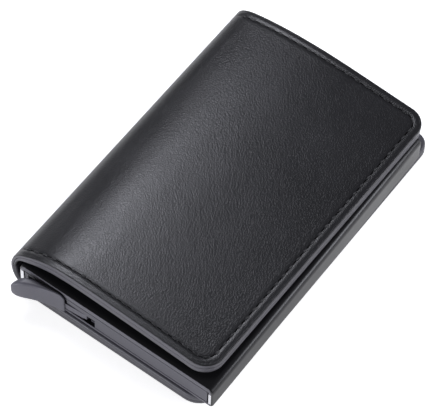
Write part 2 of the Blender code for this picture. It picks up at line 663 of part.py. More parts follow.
def make_front_flap(axis):
    """Front flap: outer leather, board, lining with a thick border, and two slip pockets."""
    far_left = SPINE_NEAR_X - CUT_OVERRUN
    cover = flap_layer("front_cover", 0, COVER_LEATHER, flap_outline(far_left, 0), True)
    finish(cover, LEATHER, 0.5)
    board = flap_layer("front_board", BOARD_DEPTH, FLAP_BOARD,
                       flap_outline(far_left, BOARD_MARGIN))
    finish(board, BOARD, 0.9)
    lining = flap_layer("front_lining", BORDER_DEPTH, FLAP_BORDER, flap_outline(far_left, 0))
    recess_left = FLAP_RIGHT_NEAR - BORDER_WIDTH - RECESS_DEPTH
    recess = flap_layer("lining_recess", BORDER_DEPTH + FLAP_LINING, FLAP_BORDER,
                        flap_outline(recess_left, BORDER_WIDTH))
    combine(lining, recess, "DIFFERENCE")
    finish(lining, LINING, 0.6)
    pieces = [cover, board, lining]
    pocket_margin = BORDER_WIDTH + FIT_GAP
    pockets = (("upper_pocket", UPPER_POCKET_DEPTH, UPPER_POCKET_DEPTH_IN),
               ("lower_pocket", LOWER_POCKET_DEPTH, LOWER_POCKET_DEPTH_IN))
    for name, pocket_depth, depth_in in pockets:
        pocket_left = FLAP_RIGHT_NEAR - pocket_margin - pocket_depth
        pocket = flap_layer(name, depth_in, POCKET_LEATHER,
                            flap_outline(pocket_left, pocket_margin))
        finish(pocket, LINING, 0.55)
        pieces.append(pocket)
    for piece in pieces:
        carry(piece, axis)


def main():
    start_empty()
    make_case_sleeve()
    make_end_cap()
    make_pivot_pin()
    make_friction_strips()
    make_back_panel()
    split_turn = math.radians(270 - BEND_SPLIT_DEG)
    lower = (SPINE_NEAR_X + LOWER_BEND_RADIUS * (1 + math.cos(split_turn)), 0,
             LOWER_BEND_RADIUS * (1 + math.sin(split_turn)))
    split_near = upper_path(SPLIT_SHARES, False)[0]
    split_far = upper_path(SPLIT_SHARES, True)[0]
    upper = (split_near[0], 0, split_far[1])
    spine_axis = joint_axis("spine_hinge_axis", lower)
    cover_axis = joint_axis("cover_hinge_axis", upper, spine_axis)
    lever_axis = joint_axis("lever_pivot_axis", (*PIVOT_AT, CASE_LOW))
    make_spine(spine_axis)
    make_front_flap(cover_axis)
    make_lever(lever_axis)


main()
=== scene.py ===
"""Looks of the leather card wallet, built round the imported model. Lengths in this file are in
millimetres where a name or a comment doesn't say otherwise, and put() turns them into metres."""

import math

import bmesh
import bpy
import numpy as np
from mathutils import Euler, Matrix, Vector, geometry


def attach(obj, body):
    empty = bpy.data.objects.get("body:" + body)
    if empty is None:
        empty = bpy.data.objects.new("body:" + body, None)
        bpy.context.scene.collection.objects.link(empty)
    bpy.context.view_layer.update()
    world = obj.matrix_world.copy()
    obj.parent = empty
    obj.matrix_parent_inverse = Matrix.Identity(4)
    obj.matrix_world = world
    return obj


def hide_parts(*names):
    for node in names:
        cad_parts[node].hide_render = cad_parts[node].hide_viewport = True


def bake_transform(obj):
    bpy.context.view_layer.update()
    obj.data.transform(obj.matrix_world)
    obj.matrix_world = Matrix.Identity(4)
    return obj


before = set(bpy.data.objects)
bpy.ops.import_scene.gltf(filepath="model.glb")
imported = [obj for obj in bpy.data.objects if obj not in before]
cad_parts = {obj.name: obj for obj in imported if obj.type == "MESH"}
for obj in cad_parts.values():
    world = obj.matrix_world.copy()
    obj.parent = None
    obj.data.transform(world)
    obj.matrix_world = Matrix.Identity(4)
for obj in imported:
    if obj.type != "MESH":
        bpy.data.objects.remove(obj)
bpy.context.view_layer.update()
MM = 0.001
scene = bpy.context.scene

# Case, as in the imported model
CASE_X = 31.25
CASE_Y = 47.5
CASE_LOW = 3.7
CASE_TOP = 12.3
SIDE_WALL = 1.4
TOP_WALL = 1.6
FLOOR_WALL = 1.0


# Small helpers

CURVE_STEPS = 12
SOFT_ANGLE = math.radians(35)


def outward(obj):
    """Turn all faces outwards."""
    bm = bmesh.new()
    bm.from_mesh(obj.data)
    bmesh.ops.recalc_face_normals(bm, faces=bm.faces)
    bm.to_mesh(obj.data)
    bm.free()


def put(name, verts, faces, materials, body=None, face_slots=None):
    """Make a smooth mesh object from points in millimetres."""
    mesh = bpy.data.meshes.new(name)
    mesh.from_pydata([(v[0] * MM, v[1] * MM, v[2] * MM) for v in verts], [], faces)
    for material in materials:
        mesh.materials.append(material)
    if face_slots is not None:
        mesh.polygons.foreach_set("material_index", face_slots)
    mesh.update()
    obj = bpy.data.objects.new(name, mesh)
    scene.collection.objects.link(obj)
    mesh.shade_smooth()
    if body:
        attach(obj, body)
    outward(obj)
    return obj


def soften(obj, width):
    """Softened edges, as a modifier."""
    bevel = obj.modifiers.new("soft_edges", "BEVEL")
    bevel.width = width * MM
    bevel.segments = 2
    bevel.limit_method = "ANGLE"
    bevel.angle_limit = SOFT_ANGLE


def arc(cx, cy, r, start, end, steps):
    """Points of an arc between two angles in degrees."""
    angles = np.radians(np.linspace(start, end, steps + 1))
    return [(cx + r * math.cos(a), cy + r * math.sin(a)) for a in angles]


def catmull(points):
    """A smooth curve through control points."""
    p = np.array(points, float)
    p = np.vstack([2 * p[0] - p[1], p, 2 * p[-1] - p[-2]])
    out = []
    for i in range(1, len(p) - 2):
        a, b, c, d = p[i - 1:i + 3]
        for t in np.linspace(0, 1, CURVE_STEPS, endpoint=False):
            out.append(0.5 * (2 * b + (c - a) * t + (2 * a - 5 * b + 4 * c - d) * t * t
                              + (3 * b - a - 3 * c + d) * t ** 3))
    out.append(p[-2])
    return np.array(out)


def running_length(points):
    """Length along a line of points, from its start to each of them."""
    step = np.linalg.norm(np.diff(points, axis=0), axis=1)
    return np.concatenate([[0], np.cumsum(step)])


def ease(a, b, x):
    """Smooth step from 0 at a to 1 at b."""
    t = np.clip((x - a) / (b - a), 0, 1)
    return t * t * (3 - 2 * t)


# Materials. Texture scales are repeats per metre, and bump distances are in metres.

PEBBLE_SCALE = 1500.0
PEBBLE_FLAT = 0.22
PEBBLE_SHARE = 1.2
WARP_SCALE = 700.0
WARP_SHARE = 0.0006
FINE_SCALE = 3200.0
FINE_SHARE = 0.30
PORE_SCALE = 1500.0
PORE_SHARE = 0.45
CREASE_SCALE = 320.0
CREASE_SHARE = 0.22
CREASE_STRETCH = (1.0, 0.35, 1.0)
CREASE_TURN = (0, 0, 0.6)
PATCH_SCALE_LEATHER = 55.0
PATCH_SCALE = 45.0
LINE_SCALE = 2200.0
LINE_STRETCH = (1.0, 0.02, 1.0)
SPECK_SCALE = 3000.0
LEATHER_BUMP = 0.42
LEATHER_RELIEF = 0.00020
PLAIN_RELIEF = 0.00005
FELT_RELIEF = 0.00020
LINE_BUMP = 0.12
LINE_RELIEF = 0.00004
# Shares by which colour and roughness vary
PLAIN_SPREAD = 0.12
METAL_SPREAD = 0.10


def new_material(name):
    """A material, its tree and main shader, and coordinates that stay on the piece."""
    material = bpy.data.materials.new(name)
    material.use_nodes = True
    tree = material.node_tree
    tree.nodes.clear()
    out = tree.nodes.new("ShaderNodeOutputMaterial")
    shader = tree.nodes.new("ShaderNodeBsdfPrincipled")
    tree.links.new(shader.outputs[0], out.inputs[0])
    coords = tree.nodes.new("ShaderNodeTexCoord").outputs["Object"]
    return material, tree, shader, coords


def noise(tree, coords, scale, detail, rough):
    n = tree.nodes.new("ShaderNodeTexNoise")
    n.inputs["Scale"].default_value = scale
    n.inputs["Detail"].default_value = detail
    n.inputs["Roughness"].default_value = rough
    tree.links.new(coords, n.inputs["Vector"])
    return n.outputs["Fac"]


def stretched(tree, coords, scale, turn=(0, 0, 0)):
    """Coordinates that stretch a texture along one way."""
    n = tree.nodes.new("ShaderNodeMapping")
    n.inputs["Scale"].default_value = scale
    n.inputs["Rotation"].default_value = turn
    tree.links.new(coords, n.inputs["Vector"])
    return n.outputs[0]


def ramp(tree, source, low_at, low, high_at, high):
    """Colours or grey levels, from low at one value of the source to high at another."""
    n = tree.nodes.new("ShaderNodeValToRGB")
    for element, place, colour in zip(n.color_ramp.elements, (low_at, high_at), (low, high)):
        element.position = place
        if not hasattr(colour, "__len__"):
            colour = (colour, colour, colour)
        element.color = (*colour, 1)
    tree.links.new(source, n.inputs["Fac"])
    return n.outputs["Color"]


def math_node(tree, op, a, b, c=None):
    n = tree.nodes.new("ShaderNodeMath")
    n.operation = op
    for i, value in enumerate((a, b, c)):
        if value is None:
            continue
        if isinstance(value, (int, float)):
            n.inputs[i].default_value = value
        else:
            tree.links.new(value, n.inputs[i])
    return n.outputs[0]


def both(tree, a, share, b):
    """Two textures in one, with a share of the first."""
    rest = math_node(tree, "MULTIPLY", b, 1 - share)
    return math_node(tree, "MULTIPLY_ADD", a, share, rest)


def bump(tree, shader, height, strength, distance):
    n = tree.nodes.new("ShaderNodeBump")
    n.inputs["Strength"].default_value = strength
    n.inputs["Distance"].default_value = distance
    tree.links.new(height, n.inputs["Height"])
    tree.links.new(n.outputs["Normal"], shader.inputs["Normal"])


def uneven(tree, shader, tint, colour, spread):
    """Base colour that varies a little with a texture."""
    low = tuple(c * (1 - spread) for c in colour)
    high = tuple(min(1.0, c * (1 + spread)) for c in colour)
    tree.links.new(ramp(tree, tint, 0.3, low, 0.7, high), shader.inputs["Base Color"])


def leather(name, dark, light, rough, grain=1.0):
    """Smooth full-grain leather: fine pebble, soft creases and slightly uneven sheen."""
    material, tree, shader, coords = new_material(name)
    warp = tree.nodes.new("ShaderNodeTexNoise")
    warp.inputs["Scale"].default_value = WARP_SCALE
    tree.links.new(coords, warp.inputs["Vector"])
    # Of a Mix node for vectors, inputs 4 and 5 and output 1 are the ones in use
    mixed = tree.nodes.new("ShaderNodeMix")
    mixed.data_type = "VECTOR"
    mixed.inputs[0].default_value = WARP_SHARE
    tree.links.new(coords, mixed.inputs[4])
    tree.links.new(warp.outputs["Color"], mixed.inputs[5])
    cells = tree.nodes.new("ShaderNodeTexVoronoi")
    cells.feature = "DISTANCE_TO_EDGE"
    cells.inputs["Scale"].default_value = PEBBLE_SCALE
    tree.links.new(mixed.outputs[1], cells.inputs["Vector"])
    pebble = math_node(tree, "MINIMUM", cells.outputs["Distance"], PEBBLE_FLAT)
    fine = noise(tree, coords, FINE_SCALE, 3.0, 0.6)
    pores = noise(tree, coords, PORE_SCALE, 2.0, 0.5)
    broad = noise(tree, coords, PATCH_SCALE_LEATHER, 3.0, 0.5)
    long = stretched(tree, coords, CREASE_STRETCH, CREASE_TURN)
    crease = noise(tree, long, CREASE_SCALE, 4.0, 0.62)
    height = math_node(tree, "MULTIPLY", pebble, PEBBLE_SHARE * grain)
    for texture, share in ((fine, FINE_SHARE), (pores, PORE_SHARE), (crease, CREASE_SHARE)):
        height = math_node(tree, "MULTIPLY_ADD", texture, share * grain, height)
    bump(tree, shader, height, LEATHER_BUMP, LEATHER_RELIEF)
    tint = both(tree, broad, 0.55, fine)
    tree.links.new(ramp(tree, tint, 0.30, dark, 0.72, light), shader.inputs["Base Color"])
    sheen = both(tree, crease, 0.5, broad)
    tree.links.new(ramp(tree, sheen, 0.3, rough[0], 0.7, rough[1]), shader.inputs["Roughness"])
    return material


def plain(name, colour, rough, grain_scale, grain, specular=0.5, relief=PLAIN_RELIEF):
    """Moulded, painted or bare surface with fine grain and slightly uneven colour."""
    material, tree, shader, coords = new_material(name)
    fine = noise(tree, coords, grain_scale, 3.0, 0.6)
    broad = noise(tree, coords, PATCH_SCALE, 3.0, 0.5)
    uneven(tree, shader, both(tree, broad, 0.6, fine), colour, PLAIN_SPREAD)
    low = rough * (1 - PLAIN_SPREAD)
    high = min(1.0, rough * (1 + PLAIN_SPREAD))
    sheen = ramp(tree, broad, 0.25, low, 0.75, high)
    tree.links.new(sheen, shader.inputs["Roughness"])
    shader.inputs["Specular IOR Level"].default_value = specular
    bump(tree, shader, fine, grain, relief)
    return material


def brushed(name, colour, rough, metallic):
    """Anodised or bare metal with faint lines from extrusion."""
    material, tree, shader, coords = new_material(name)
    lines = noise(tree, stretched(tree, coords, LINE_STRETCH), LINE_SCALE, 3.0, 0.6)
    speck = noise(tree, coords, SPECK_SCALE, 2.0, 0.6)
    tint = both(tree, lines, 0.6, speck)
    uneven(tree, shader, tint, colour, METAL_SPREAD)
    low = rough * (1 - METAL_SPREAD)
    high = rough * (1 + METAL_SPREAD)
    tree.links.new(ramp(tree, lines, 0.3, low, 0.7, high), shader.inputs["Roughness"])
    shader.inputs["Metallic"].default_value = metallic
    bump(tree, shader, tint, LINE_BUMP, LINE_RELIEF)
    return material


LEATHER = leather("wrap_leather", (0.008, 0.008, 0.009), (0.014, 0.014, 0.016), (0.29, 0.365))
LINING = leather("lining_leather", (0.009, 0.009, 0.010), (0.016, 0.016, 0.018), (0.5, 0.62),
                 grain=0.7)
EDGE = plain("edge_paint", (0.082, 0.079, 0.091), 0.42, 900.0, 0.3)
# Edge paint of the back panel: a darker copy of the edge paint, painted shade for the back panel's
# less lit edge.
BACK_EDGE_SHADED = plain("back_edge_paint_shaded", (0.070, 0.068, 0.078), 0.45, 900.0, 0.3)
THREAD = plain("seam_thread", (0.009, 0.009, 0.010), 0.42, 5200.0, 0.5)
# Near-black flat slits at the needle holes: painted shade of the holes.
NEEDLE_HOLE_SHADE = plain("needle_hole_painted_shade", (0.002, 0.002, 0.002), 0.9, 1400.0, 0.25, specular=0.1)
# Coat of the sleeve, made near black: painted shade for the gap under the flap and the case top
# there.
SHADED_COAT = plain("case_coat_painted_shade", (0.006, 0.006, 0.007), 0.30, 2400.0, 0.10)
CASE_END = brushed("case_end", (0.112, 0.109, 0.125), 0.38, 0.0)
CUT_METAL = brushed("cut_metal", (0.93, 0.93, 0.94), 0.30, 0.6)
PLASTIC = plain("moulded_plastic", (0.110, 0.107, 0.125), 0.44, 1900.0, 0.2)
CAP = plain("cap_plastic", (0.086, 0.084, 0.098), 0.46, 1900.0, 0.2)
STEEL = brushed("pin_steel", (0.62, 0.62, 0.64), 0.25, 1.0)
FELT = plain("felt", (0.025, 0.025, 0.027), 0.95, 2600.0, 0.9, specular=0.2,
             relief=FELT_RELIEF)
TAPE = plain("mounting_tape", (0.70, 0.70, 0.67), 0.7, 800.0, 0.2)


# Shape of the wrap

# Outer surface of the wrap in end view, from the middle of the spine over the flap
FLAP_NEAR = [(-34.85, 8.0), (-34.8, 8.9), (-34.4, 10.8), (-33.75, 12.7), (-32.85, 14.25),
             (-31.35, 15.8), (-29.5, 17.0), (-27.5, 18.2), (-24.7, 19.6), (-21.4, 20.7),
             (-18.0, 21.3), (-15.0, 21.5), (-11.5, 21.55), (-3.65, 21.3), (5.0, 20.85),
             (13.0, 20.35), (21.0, 19.8), (29.65, 19.2)]
FLAP_FAR = [(-33.15, 8.0), (-33.1, 9.5), (-32.95, 11.0), (-32.5, 12.6), (-31.75, 13.85),
            (-30.65, 14.9), (-29.2, 15.75), (-27.7, 16.35), (-24.3, 17.15), (-21.0, 17.7),
            (-17.7, 18.15), (-14.4, 18.45), (-11.0, 18.65), (-4.5, 18.8), (2.1, 18.6),
            (5.4, 18.4), (12.0, 17.95), (18.5, 17.45), (25.0, 17.0), (30.45, 16.65)]
# And from the middle of the spine under the back panel
BACK_NEAR = [(-34.85, 8.0), (-34.8, 6.4), (-34.55, 4.6), (-34.05, 3.0), (-33.3, 1.6),
             (-32.2, 0.55), (-30.6, 0.05), (-28.0, 0.0), (-20.0, 0.0), (0.0, 0.0),
             (20.0, 0.0), (29.85, 0.0)]
BACK_FAR = [(-33.15, 8.0), (-33.1, 6.4), (-32.95, 4.6), (-32.5, 3.0), (-31.9, 1.6),
            (-30.9, 0.55), (-29.5, 0.05), (-27.0, 0.0), (-20.0, 0.0), (0.0, 0.0),
            (20.0, 0.0), (30.6, 0.0)]

SPAN_V = 98.4
WRAP_Y_NEAR = -46.75
WRAP_Y_FAR = 51.65
PANEL_Y_NEAR = -48.2
PANEL_Y_FAR = 54.1
WIDEN_FROM = 9.0
WIDEN_TO = 14.0
SLOPE_STEP = 0.35


class Sheet:
    """Half of the wrap: a surface with u along the leather from the spine, v from near to far."""

    def __init__(self, near, far, y_near, y_far, side):
        self.side = side
        self.curves = [(curve, running_length(curve)) for curve in (catmull(near), catmull(far))]
        self.length = (self.curves[0][1][-1] + self.curves[1][1][-1]) / 2
        self.y_near = y_near
        self.y_far = y_far

    def profile(self, which, u):
        """Place and slope of the near (0) or far (1) end view at u."""
        curve, lengths = self.curves[which]
        s = u / self.length * lengths[-1]
        x, xa, xb = (np.interp(s + k, lengths, curve[:, 0]) for k in (0, -SLOPE_STEP, SLOPE_STEP))
        z, za, zb = (np.interp(s + k, lengths, curve[:, 1]) for k in (0, -SLOPE_STEP, SLOPE_STEP))
        return np.stack([x, z, xb - xa, zb - za])

    def at(self, u, v, inward=0.0):
        """Points at u and v, set inward from the outer surface."""
        near = self.profile(0, u)
        far = self.profile(1, u)
        x, z, dx, dz = near + (far - near) * np.clip(v / SPAN_V, 0, 1)
        long = np.hypot(dx, dz)
        nx = dz / long * self.side
        nz = -dx / long * self.side
        turn = ease(WIDEN_FROM, WIDEN_TO, u)
        y_near = self.y_near[0] + (self.y_near[1] - self.y_near[0]) * turn
        y_far = self.y_far[0] + (self.y_far[1] - self.y_far[0]) * turn
        y = y_near + (y_far - y_near) * v / SPAN_V
        return np.stack([x + nx * inward, y, z + nz * inward], -1)


FRONT = Sheet(FLAP_NEAR, FLAP_FAR, (WRAP_Y_NEAR, WRAP_Y_NEAR), (WRAP_Y_FAR, WRAP_Y_FAR), 1)
BACK = Sheet(BACK_NEAR, BACK_FAR, (WRAP_Y_NEAR, PANEL_Y_NEAR), (WRAP_Y_FAR, PANEL_Y_FAR), -1)

# Depths from the edge at which a sheet has a ring of points
INSETS = [0.0, 0.03, 0.10, 0.22, 0.38, 0.55, 0.75, 1.1, 1.5, 1.8, 2.0, 2.18, 2.35, 2.52, 2.7, 2.95,
          3.4, 3.9, 4.15, 4.4, 4.8]
POCKET_INSETS = [0.0, 0.05, 0.15, 0.3, 0.7, 1.1, 1.4, 1.6, 1.8, 2.2, 3.0]
U_STEP = 1.5
U_STEP_FINE = 0.55
RING_STEP = 1.4
ROW_STEP = 1.6
CORNER_STEPS = 12
SMALLEST_RADIUS = 0.02
# Least distances along u: of a ring's points from its start and its corners, and of the
# grid's points from the ends of the sheet. Last, how far inside the last ring the grid begins.
START_GAP = 0.25
CORNER_GAP = 0.2
END_GAP = 0.3
GRID_GAP = 0.5
# Distances in u and v under which two places count as one, or a place as on an edge
SAME_PLACE = 1e-5
EDGE_SLACK = 1e-3
CUT_SLACK = 1e-6
# How far the edge's paint reaches on a face
EDGE_PAINT = 0.09


class Outline:
    """Outline of a sheet in u and v, with radii at its near and far free corners. It is open at
    the spine, or closed at a start in u."""

    def __init__(self, length, low, high, radii, dense=0.0, start=None):
        self.length = length
        self.low = low
        self.high = high
        self.radii = radii
        self.dense = dense
        self.closed = start is not None
        self.start = start if self.closed else 0.0

    def places(self):
        """Places along u, closer together up to the length named dense."""
        out = [0.0]
        while out[-1] < self.length - END_GAP:
            out.append(out[-1] + (U_STEP_FINE if out[-1] < self.dense else U_STEP))
        return out

    def left(self, inset):
        """Where a ring at an inset begins along u."""
        return self.start + (inset if self.closed else 0.0)

    def ring(self, inset):
        """The outline at an inset from its real edges, from the open end round and back."""
        left = self.left(inset) + START_GAP
        right = self.length - inset
        low = self.low + inset
        high = self.high - inset
        rn = max(self.radii[0] - inset, SMALLEST_RADIUS)
        rf = max(self.radii[1] - inset, SMALLEST_RADIUS)
        places = self.places()
        pts = [(self.left(inset), low)]
        pts += [(u, low) for u in places if left < u < right - rn - CORNER_GAP]
        pts += arc(right - rn, low + rn, rn, -90, 0, CORNER_STEPS)
        tall = high - low - rn - rf
        count = int(tall / RING_STEP)
        pts += [(right, low + rn + tall * k / count) for k in range(1, count)]
        pts += arc(right - rf, high - rf, rf, 0, 90, CORNER_STEPS)
        pts += [(u, high) for u in places[::-1] if left < u < right - rf - CORNER_GAP]
        pts.append((self.left(inset), high))
        return pts

    def edge_depth(self, uv):
        """Depth of each point inside the free edges, which are round at two corners."""
        du = self.length - uv[:, 0]
        from_low = uv[:, 1] - self.low
        from_high = self.high - uv[:, 1]
        dv = np.minimum(from_low, from_high)
        r = np.where(from_low < from_high, *self.radii)
        corner = (du < r) & (dv < r)
        return np.where(corner, r - np.hypot(r - du, r - dv), np.minimum(du, dv))

    def depth(self, uv):
        """Depth of each point inside every edge that the sheet has."""
        depth = self.edge_depth(uv)
        if self.closed:
            depth = np.minimum(depth, uv[:, 0] - self.start)
        return depth

    def triangles(self, insets):
        """Points and triangles in u and v: rings near the edges and a grid inside them."""
        pts = []
        edges = []
        for inset in insets:
            loop = self.ring(inset)
            base = len(pts)
            pts += loop
            edges += [(base + i, base + i + 1) for i in range(len(loop) - 1)]
        last = insets[-1]
        tall = self.high - self.low - 2 * last
        count = int(tall / ROW_STEP)
        rows = [self.low + last + tall * k / count for k in range(1, count)]
        if not self.closed:
            pts += [(self.start, v) for v in rows]
        places = [u for u in self.places() if u > self.left(last) + END_GAP]
        grid = np.array([(u, v) for v in rows for u in places])
        pts += [tuple(place) for place in grid[self.edge_depth(grid) > last + GRID_GAP]]
        got = geometry.delaunay_2d_cdt([Vector(p) for p in pts], edges, [], 0, SAME_PLACE)
        return np.array([(p.x, p.y) for p in got[0]]), [list(f) for f in got[2]]


def build_sheet(name, sheet, outline, top, bottom, materials, insets=INSETS, inner_painted_light=0.0):
    """A closed sheet of leather: top(u, v, d) and bottom(u, v, d) are its faces' depths under the
    surface, at a distance d from the edge, and the last argument is how far the edge paint reaches
    on the inner face, as painted light on a ledge that lies in shade."""
    uv, triangles = outline.triangles(insets)
    middles = np.array([uv[f].mean(0) for f in triangles])
    inside = (outline.depth(middles) > -EDGE_SLACK) & (middles[:, 0] > outline.start)
    kept = [f for f, good in zip(triangles, inside) if good]
    used = sorted({i for f in kept for i in f})
    index = {old: new for new, old in enumerate(used)}
    faces = [[index[i] for i in f] for f in kept]
    uv = uv[used]
    u, v = uv.T
    d = np.maximum(outline.depth(uv), 0)
    up = sheet.at(u, v, top(u, v, d))
    down = sheet.at(u, v, bottom(u, v, d))
    n = len(uv)
    sides = dict.fromkeys((a, b) for f in faces for a, b in zip(f, f[1:] + f[:1]))
    slots = [0 if d[f].max() > EDGE_PAINT else 1 for f in faces]
    slots += [1 if d[f].max() < inner_painted_light else 2 for f in faces]
    faces = faces + [[n + i for i in reversed(f)] for f in faces]
    for a, b in sides:
        if (b, a) in sides:
            continue
        faces.append([a, n + a, n + b, b])
        on_cut = not outline.closed and max(u[a], u[b]) < CUT_SLACK
        slots.append(0 if on_cut else 1)
    return put(name, np.vstack([up, down]), faces, materials, face_slots=slots)


# Layers of the wrap

FLAP_OUTLINE = Outline(FRONT.length, 0.0, SPAN_V, (6.0, 5.6), dense=30.0)
BACK_OUTLINE = Outline(BACK.length, 0.0, SPAN_V, (7.0, 4.0), dense=26.0)
# Seam groove, crease and puffed margin: distance from the edge, width, and depth or rise, which
# are less along the free edge
SEAM_INSET = 2.45
SEAM_START = 8.0
RELIEF_START = 7.0
SEAM_WIDTH = 0.48
SEAM_DEPTH = 0.15
SEAM_DEPTH_FREE = 0.10
FREE_EDGE = (62.0, 70.0)
CREASE_INSET = 0.66
CREASE_WIDTH = 0.18
CREASE_DEPTH = 0.05
PUFF_INSET = 1.4
PUFF_WIDTH = 0.55
PUFF_RISE = 0.08
PUFF_RISE_FREE = 0.04
# Rounding of the edges, the gap along the glue line, and the back panel's relief and how far its
# edge paint reaches onto the lining, as painted light on the shaded ledge under the case
EDGE_ROUND = 0.42
BACK_EDGE_ROUND = 0.75
FLAP_GLUE_ROUND = 0.14
FLAP_GLUE_GAP = 0.03
BACK_GLUE_ROUND = 0.06
BACK_GLUE_GAP = 0.02
BACK_RELIEF_SHARE = 0.9
BACK_LEDGE_PAINTED_LIGHT = 2.6


def round_drop(d, r):
    """How far a rounded edge drops under the flat surface at a distance d from the side."""
    t = np.clip(1 - d / r, 0, 1)
    return r * (1 - np.sqrt(np.maximum(1 - t * t, 0)))


def bell(d, middle, width):
    """Rise from 0 to 1 at the middle and back."""
    return np.exp(-((d - middle) / width) ** 2)


def toward_free_edge(u):
    """Share from 0 over most of a sheet to 1 along its free edge."""
    return ease(*FREE_EDGE, u)


def seam_floor(u, v):
    """Depth of the groove that the seam lies in, less along the free edge."""
    return SEAM_DEPTH + (SEAM_DEPTH_FREE - SEAM_DEPTH) * toward_free_edge(u)


def outer_top(u, v, d):
    """Depth of the outer leather's face: rounded edge, fine crease, puffed margin, seam groove."""
    stitched = np.where(u > RELIEF_START, 1.0, 0.0)
    rise = PUFF_RISE + (PUFF_RISE_FREE - PUFF_RISE) * toward_free_edge(u)
    relief = seam_floor(u, v) * bell(d, SEAM_INSET, SEAM_WIDTH)
    relief += CREASE_DEPTH * bell(d, CREASE_INSET, CREASE_WIDTH)
    relief -= rise * bell(d, PUFF_INSET, PUFF_WIDTH)
    return round_drop(d, EDGE_ROUND) + relief * stitched


# Whole thickness of the wrap along u at the near and far ends of the flap
THICK_U = [0.0, 3.5, 6.0, 8.5, 11.5, 16.0, 19.0, 23.0, 90.0]
THICK_NEAR = [1.6, 1.7, 2.15, 2.75, 3.05, 3.55, 3.8, 4.05, 4.1]
THICK_FAR = [1.5, 1.55, 1.6, 2.1, 2.85, 3.45, 3.75, 4.05, 4.1]
# Thickness of the cover at the spine, how much it grows, and from where to where along u
COVER_AT_SPINE = 0.95
FLAP_COVER_MORE = 0.85
FLAP_COVER_GROWS = (10.0, 22.0)
BACK_COVER_MORE = 0.65
BACK_COVER_GROWS = (9.0, 16.0)
BORDER = 4.2
RECESS_LONG = 54.0
RECESS_DEPTH = 2.7
RECESS_WALL = 0.25
RECESS_RAMP = 1.5
BACK_AT_SPINE = 1.6
BACK_RIM_MORE = 2.02
BACK_RIM_GROWS = (8.0, 12.0)
TAPE_DROP = 0.52
TAPE_BORDER = (4.4, 5.0)
TAPE_START = (12.5, 14.0)


def flap_total(u, v):
    """Whole thickness of the wrap over the flap."""
    near = np.interp(u, THICK_U, THICK_NEAR)
    far = np.interp(u, THICK_U, THICK_FAR)
    return near + (far - near) * np.clip(v / SPAN_V, 0, 1)


def flap_upper(u):
    """Depth of the glue line between the flap's outer leather and its lining."""
    return COVER_AT_SPINE + FLAP_COVER_MORE * ease(*FLAP_COVER_GROWS, u)


def flap_inside(u, v, d):
    """Depth of the lining's face, with the recess that the slip pockets are sewn in."""
    total = flap_total(u, v)
    start = FRONT.length - RECESS_LONG
    deep = ease(BORDER - RECESS_WALL, BORDER + RECESS_WALL, d)
    deep = deep * ease(start - RECESS_RAMP, start + RECESS_RAMP, u)
    return total + (RECESS_DEPTH - total) * deep


def back_upper(u):
    """Depth of the glue line between the back panel's outer leather and its lining."""
    return COVER_AT_SPINE + BACK_COVER_MORE * ease(*BACK_COVER_GROWS, u)


def back_inside(u, v, d):
    """Depth of the back lining's face, which stands higher round the tape under the case."""
    rim = BACK_AT_SPINE + BACK_RIM_MORE * ease(*BACK_RIM_GROWS, u)
    return rim - TAPE_DROP * ease(*TAPE_BORDER, d) * ease(*TAPE_START, u)


flap = build_sheet(
    "flap_leather", FRONT, FLAP_OUTLINE,
    outer_top,
    lambda u, v, d: flap_upper(u) - round_drop(d, FLAP_GLUE_ROUND),
    [LEATHER, EDGE, LINING])
flap_lining = build_sheet(
    "flap_lining", FRONT, FLAP_OUTLINE,
    lambda u, v, d: flap_upper(u) + FLAP_GLUE_GAP + round_drop(d, FLAP_GLUE_ROUND),
    lambda u, v, d: flap_inside(u, v, d) - round_drop(d, EDGE_ROUND),
    [LINING, EDGE, LINING])
back = build_sheet(
    "back_leather", BACK, BACK_OUTLINE,
    lambda u, v, d: np.maximum(outer_top(u, v, d), 0.0) * BACK_RELIEF_SHARE,
    lambda u, v, d: back_upper(u) - round_drop(d, BACK_GLUE_ROUND),
    [LEATHER, BACK_EDGE_SHADED, LINING])
# The lining's face near its edges takes the edge paint: painted light on the ledge under the case,
# which lies in shade.
back_lining = build_sheet(
    "back_lining_leather", BACK, BACK_OUTLINE,
    lambda u, v, d: back_upper(u) + BACK_GLUE_GAP + round_drop(d, BACK_GLUE_ROUND),
    lambda u, v, d: back_inside(u, v, d) - round_drop(d, BACK_EDGE_ROUND),
    [LINING, BACK_EDGE_SHADED, LINING], inner_painted_light=BACK_LEDGE_PAINTED_LIGHT)


# Seams

STITCH_PITCH = 3.16
STITCH_LONG = 2.0
STITCH_PARTS = 8
STITCH_SINK = 0.34
STITCH_BOW = 0.42
THREAD_RADIUS = 0.27
THREAD_SIDES = 8
# Slits at the needle holes: flat near-black discs that paint the holes' shade.
SLIT_LONG = 0.72
SLIT_WIDE = 0.34
SLIT_POINTS = 10
SLIT_RISE = 0.02
SLIT_AIM = 0.2
# Sine of the angle to the upright under which a stitch counts as upright
UPRIGHT = 0.2
THREAD_END_SHARE = 0.55
# Part of a half wave, from its start and over its length, that a stitch's swelling follows
THREAD_WAVE = (0.06, 0.88)
SEAM_ARC_STEPS = 15
INNER_SEAM_START = 24.0
BACK_SEAM_START = 9.0
BACK_SEAM_DEPTH = 0.36


def seam_path(outline, start):
    """Points of a seam in u and v along the near, right and far edges."""
    right = outline.length - SEAM_INSET
    low = outline.low + SEAM_INSET
    high = outline.high - SEAM_INSET
    rn = outline.radii[0] - SEAM_INSET
    rf = outline.radii[1] - SEAM_INSET
    pts = [(start, low)]
    pts += arc(right - rn, low + rn, rn, -90, 0, SEAM_ARC_STEPS)
    pts += arc(right - rf, high - rf, rf, 0, 90, SEAM_ARC_STEPS)
    pts.append((start, high))
    return np.array(pts)


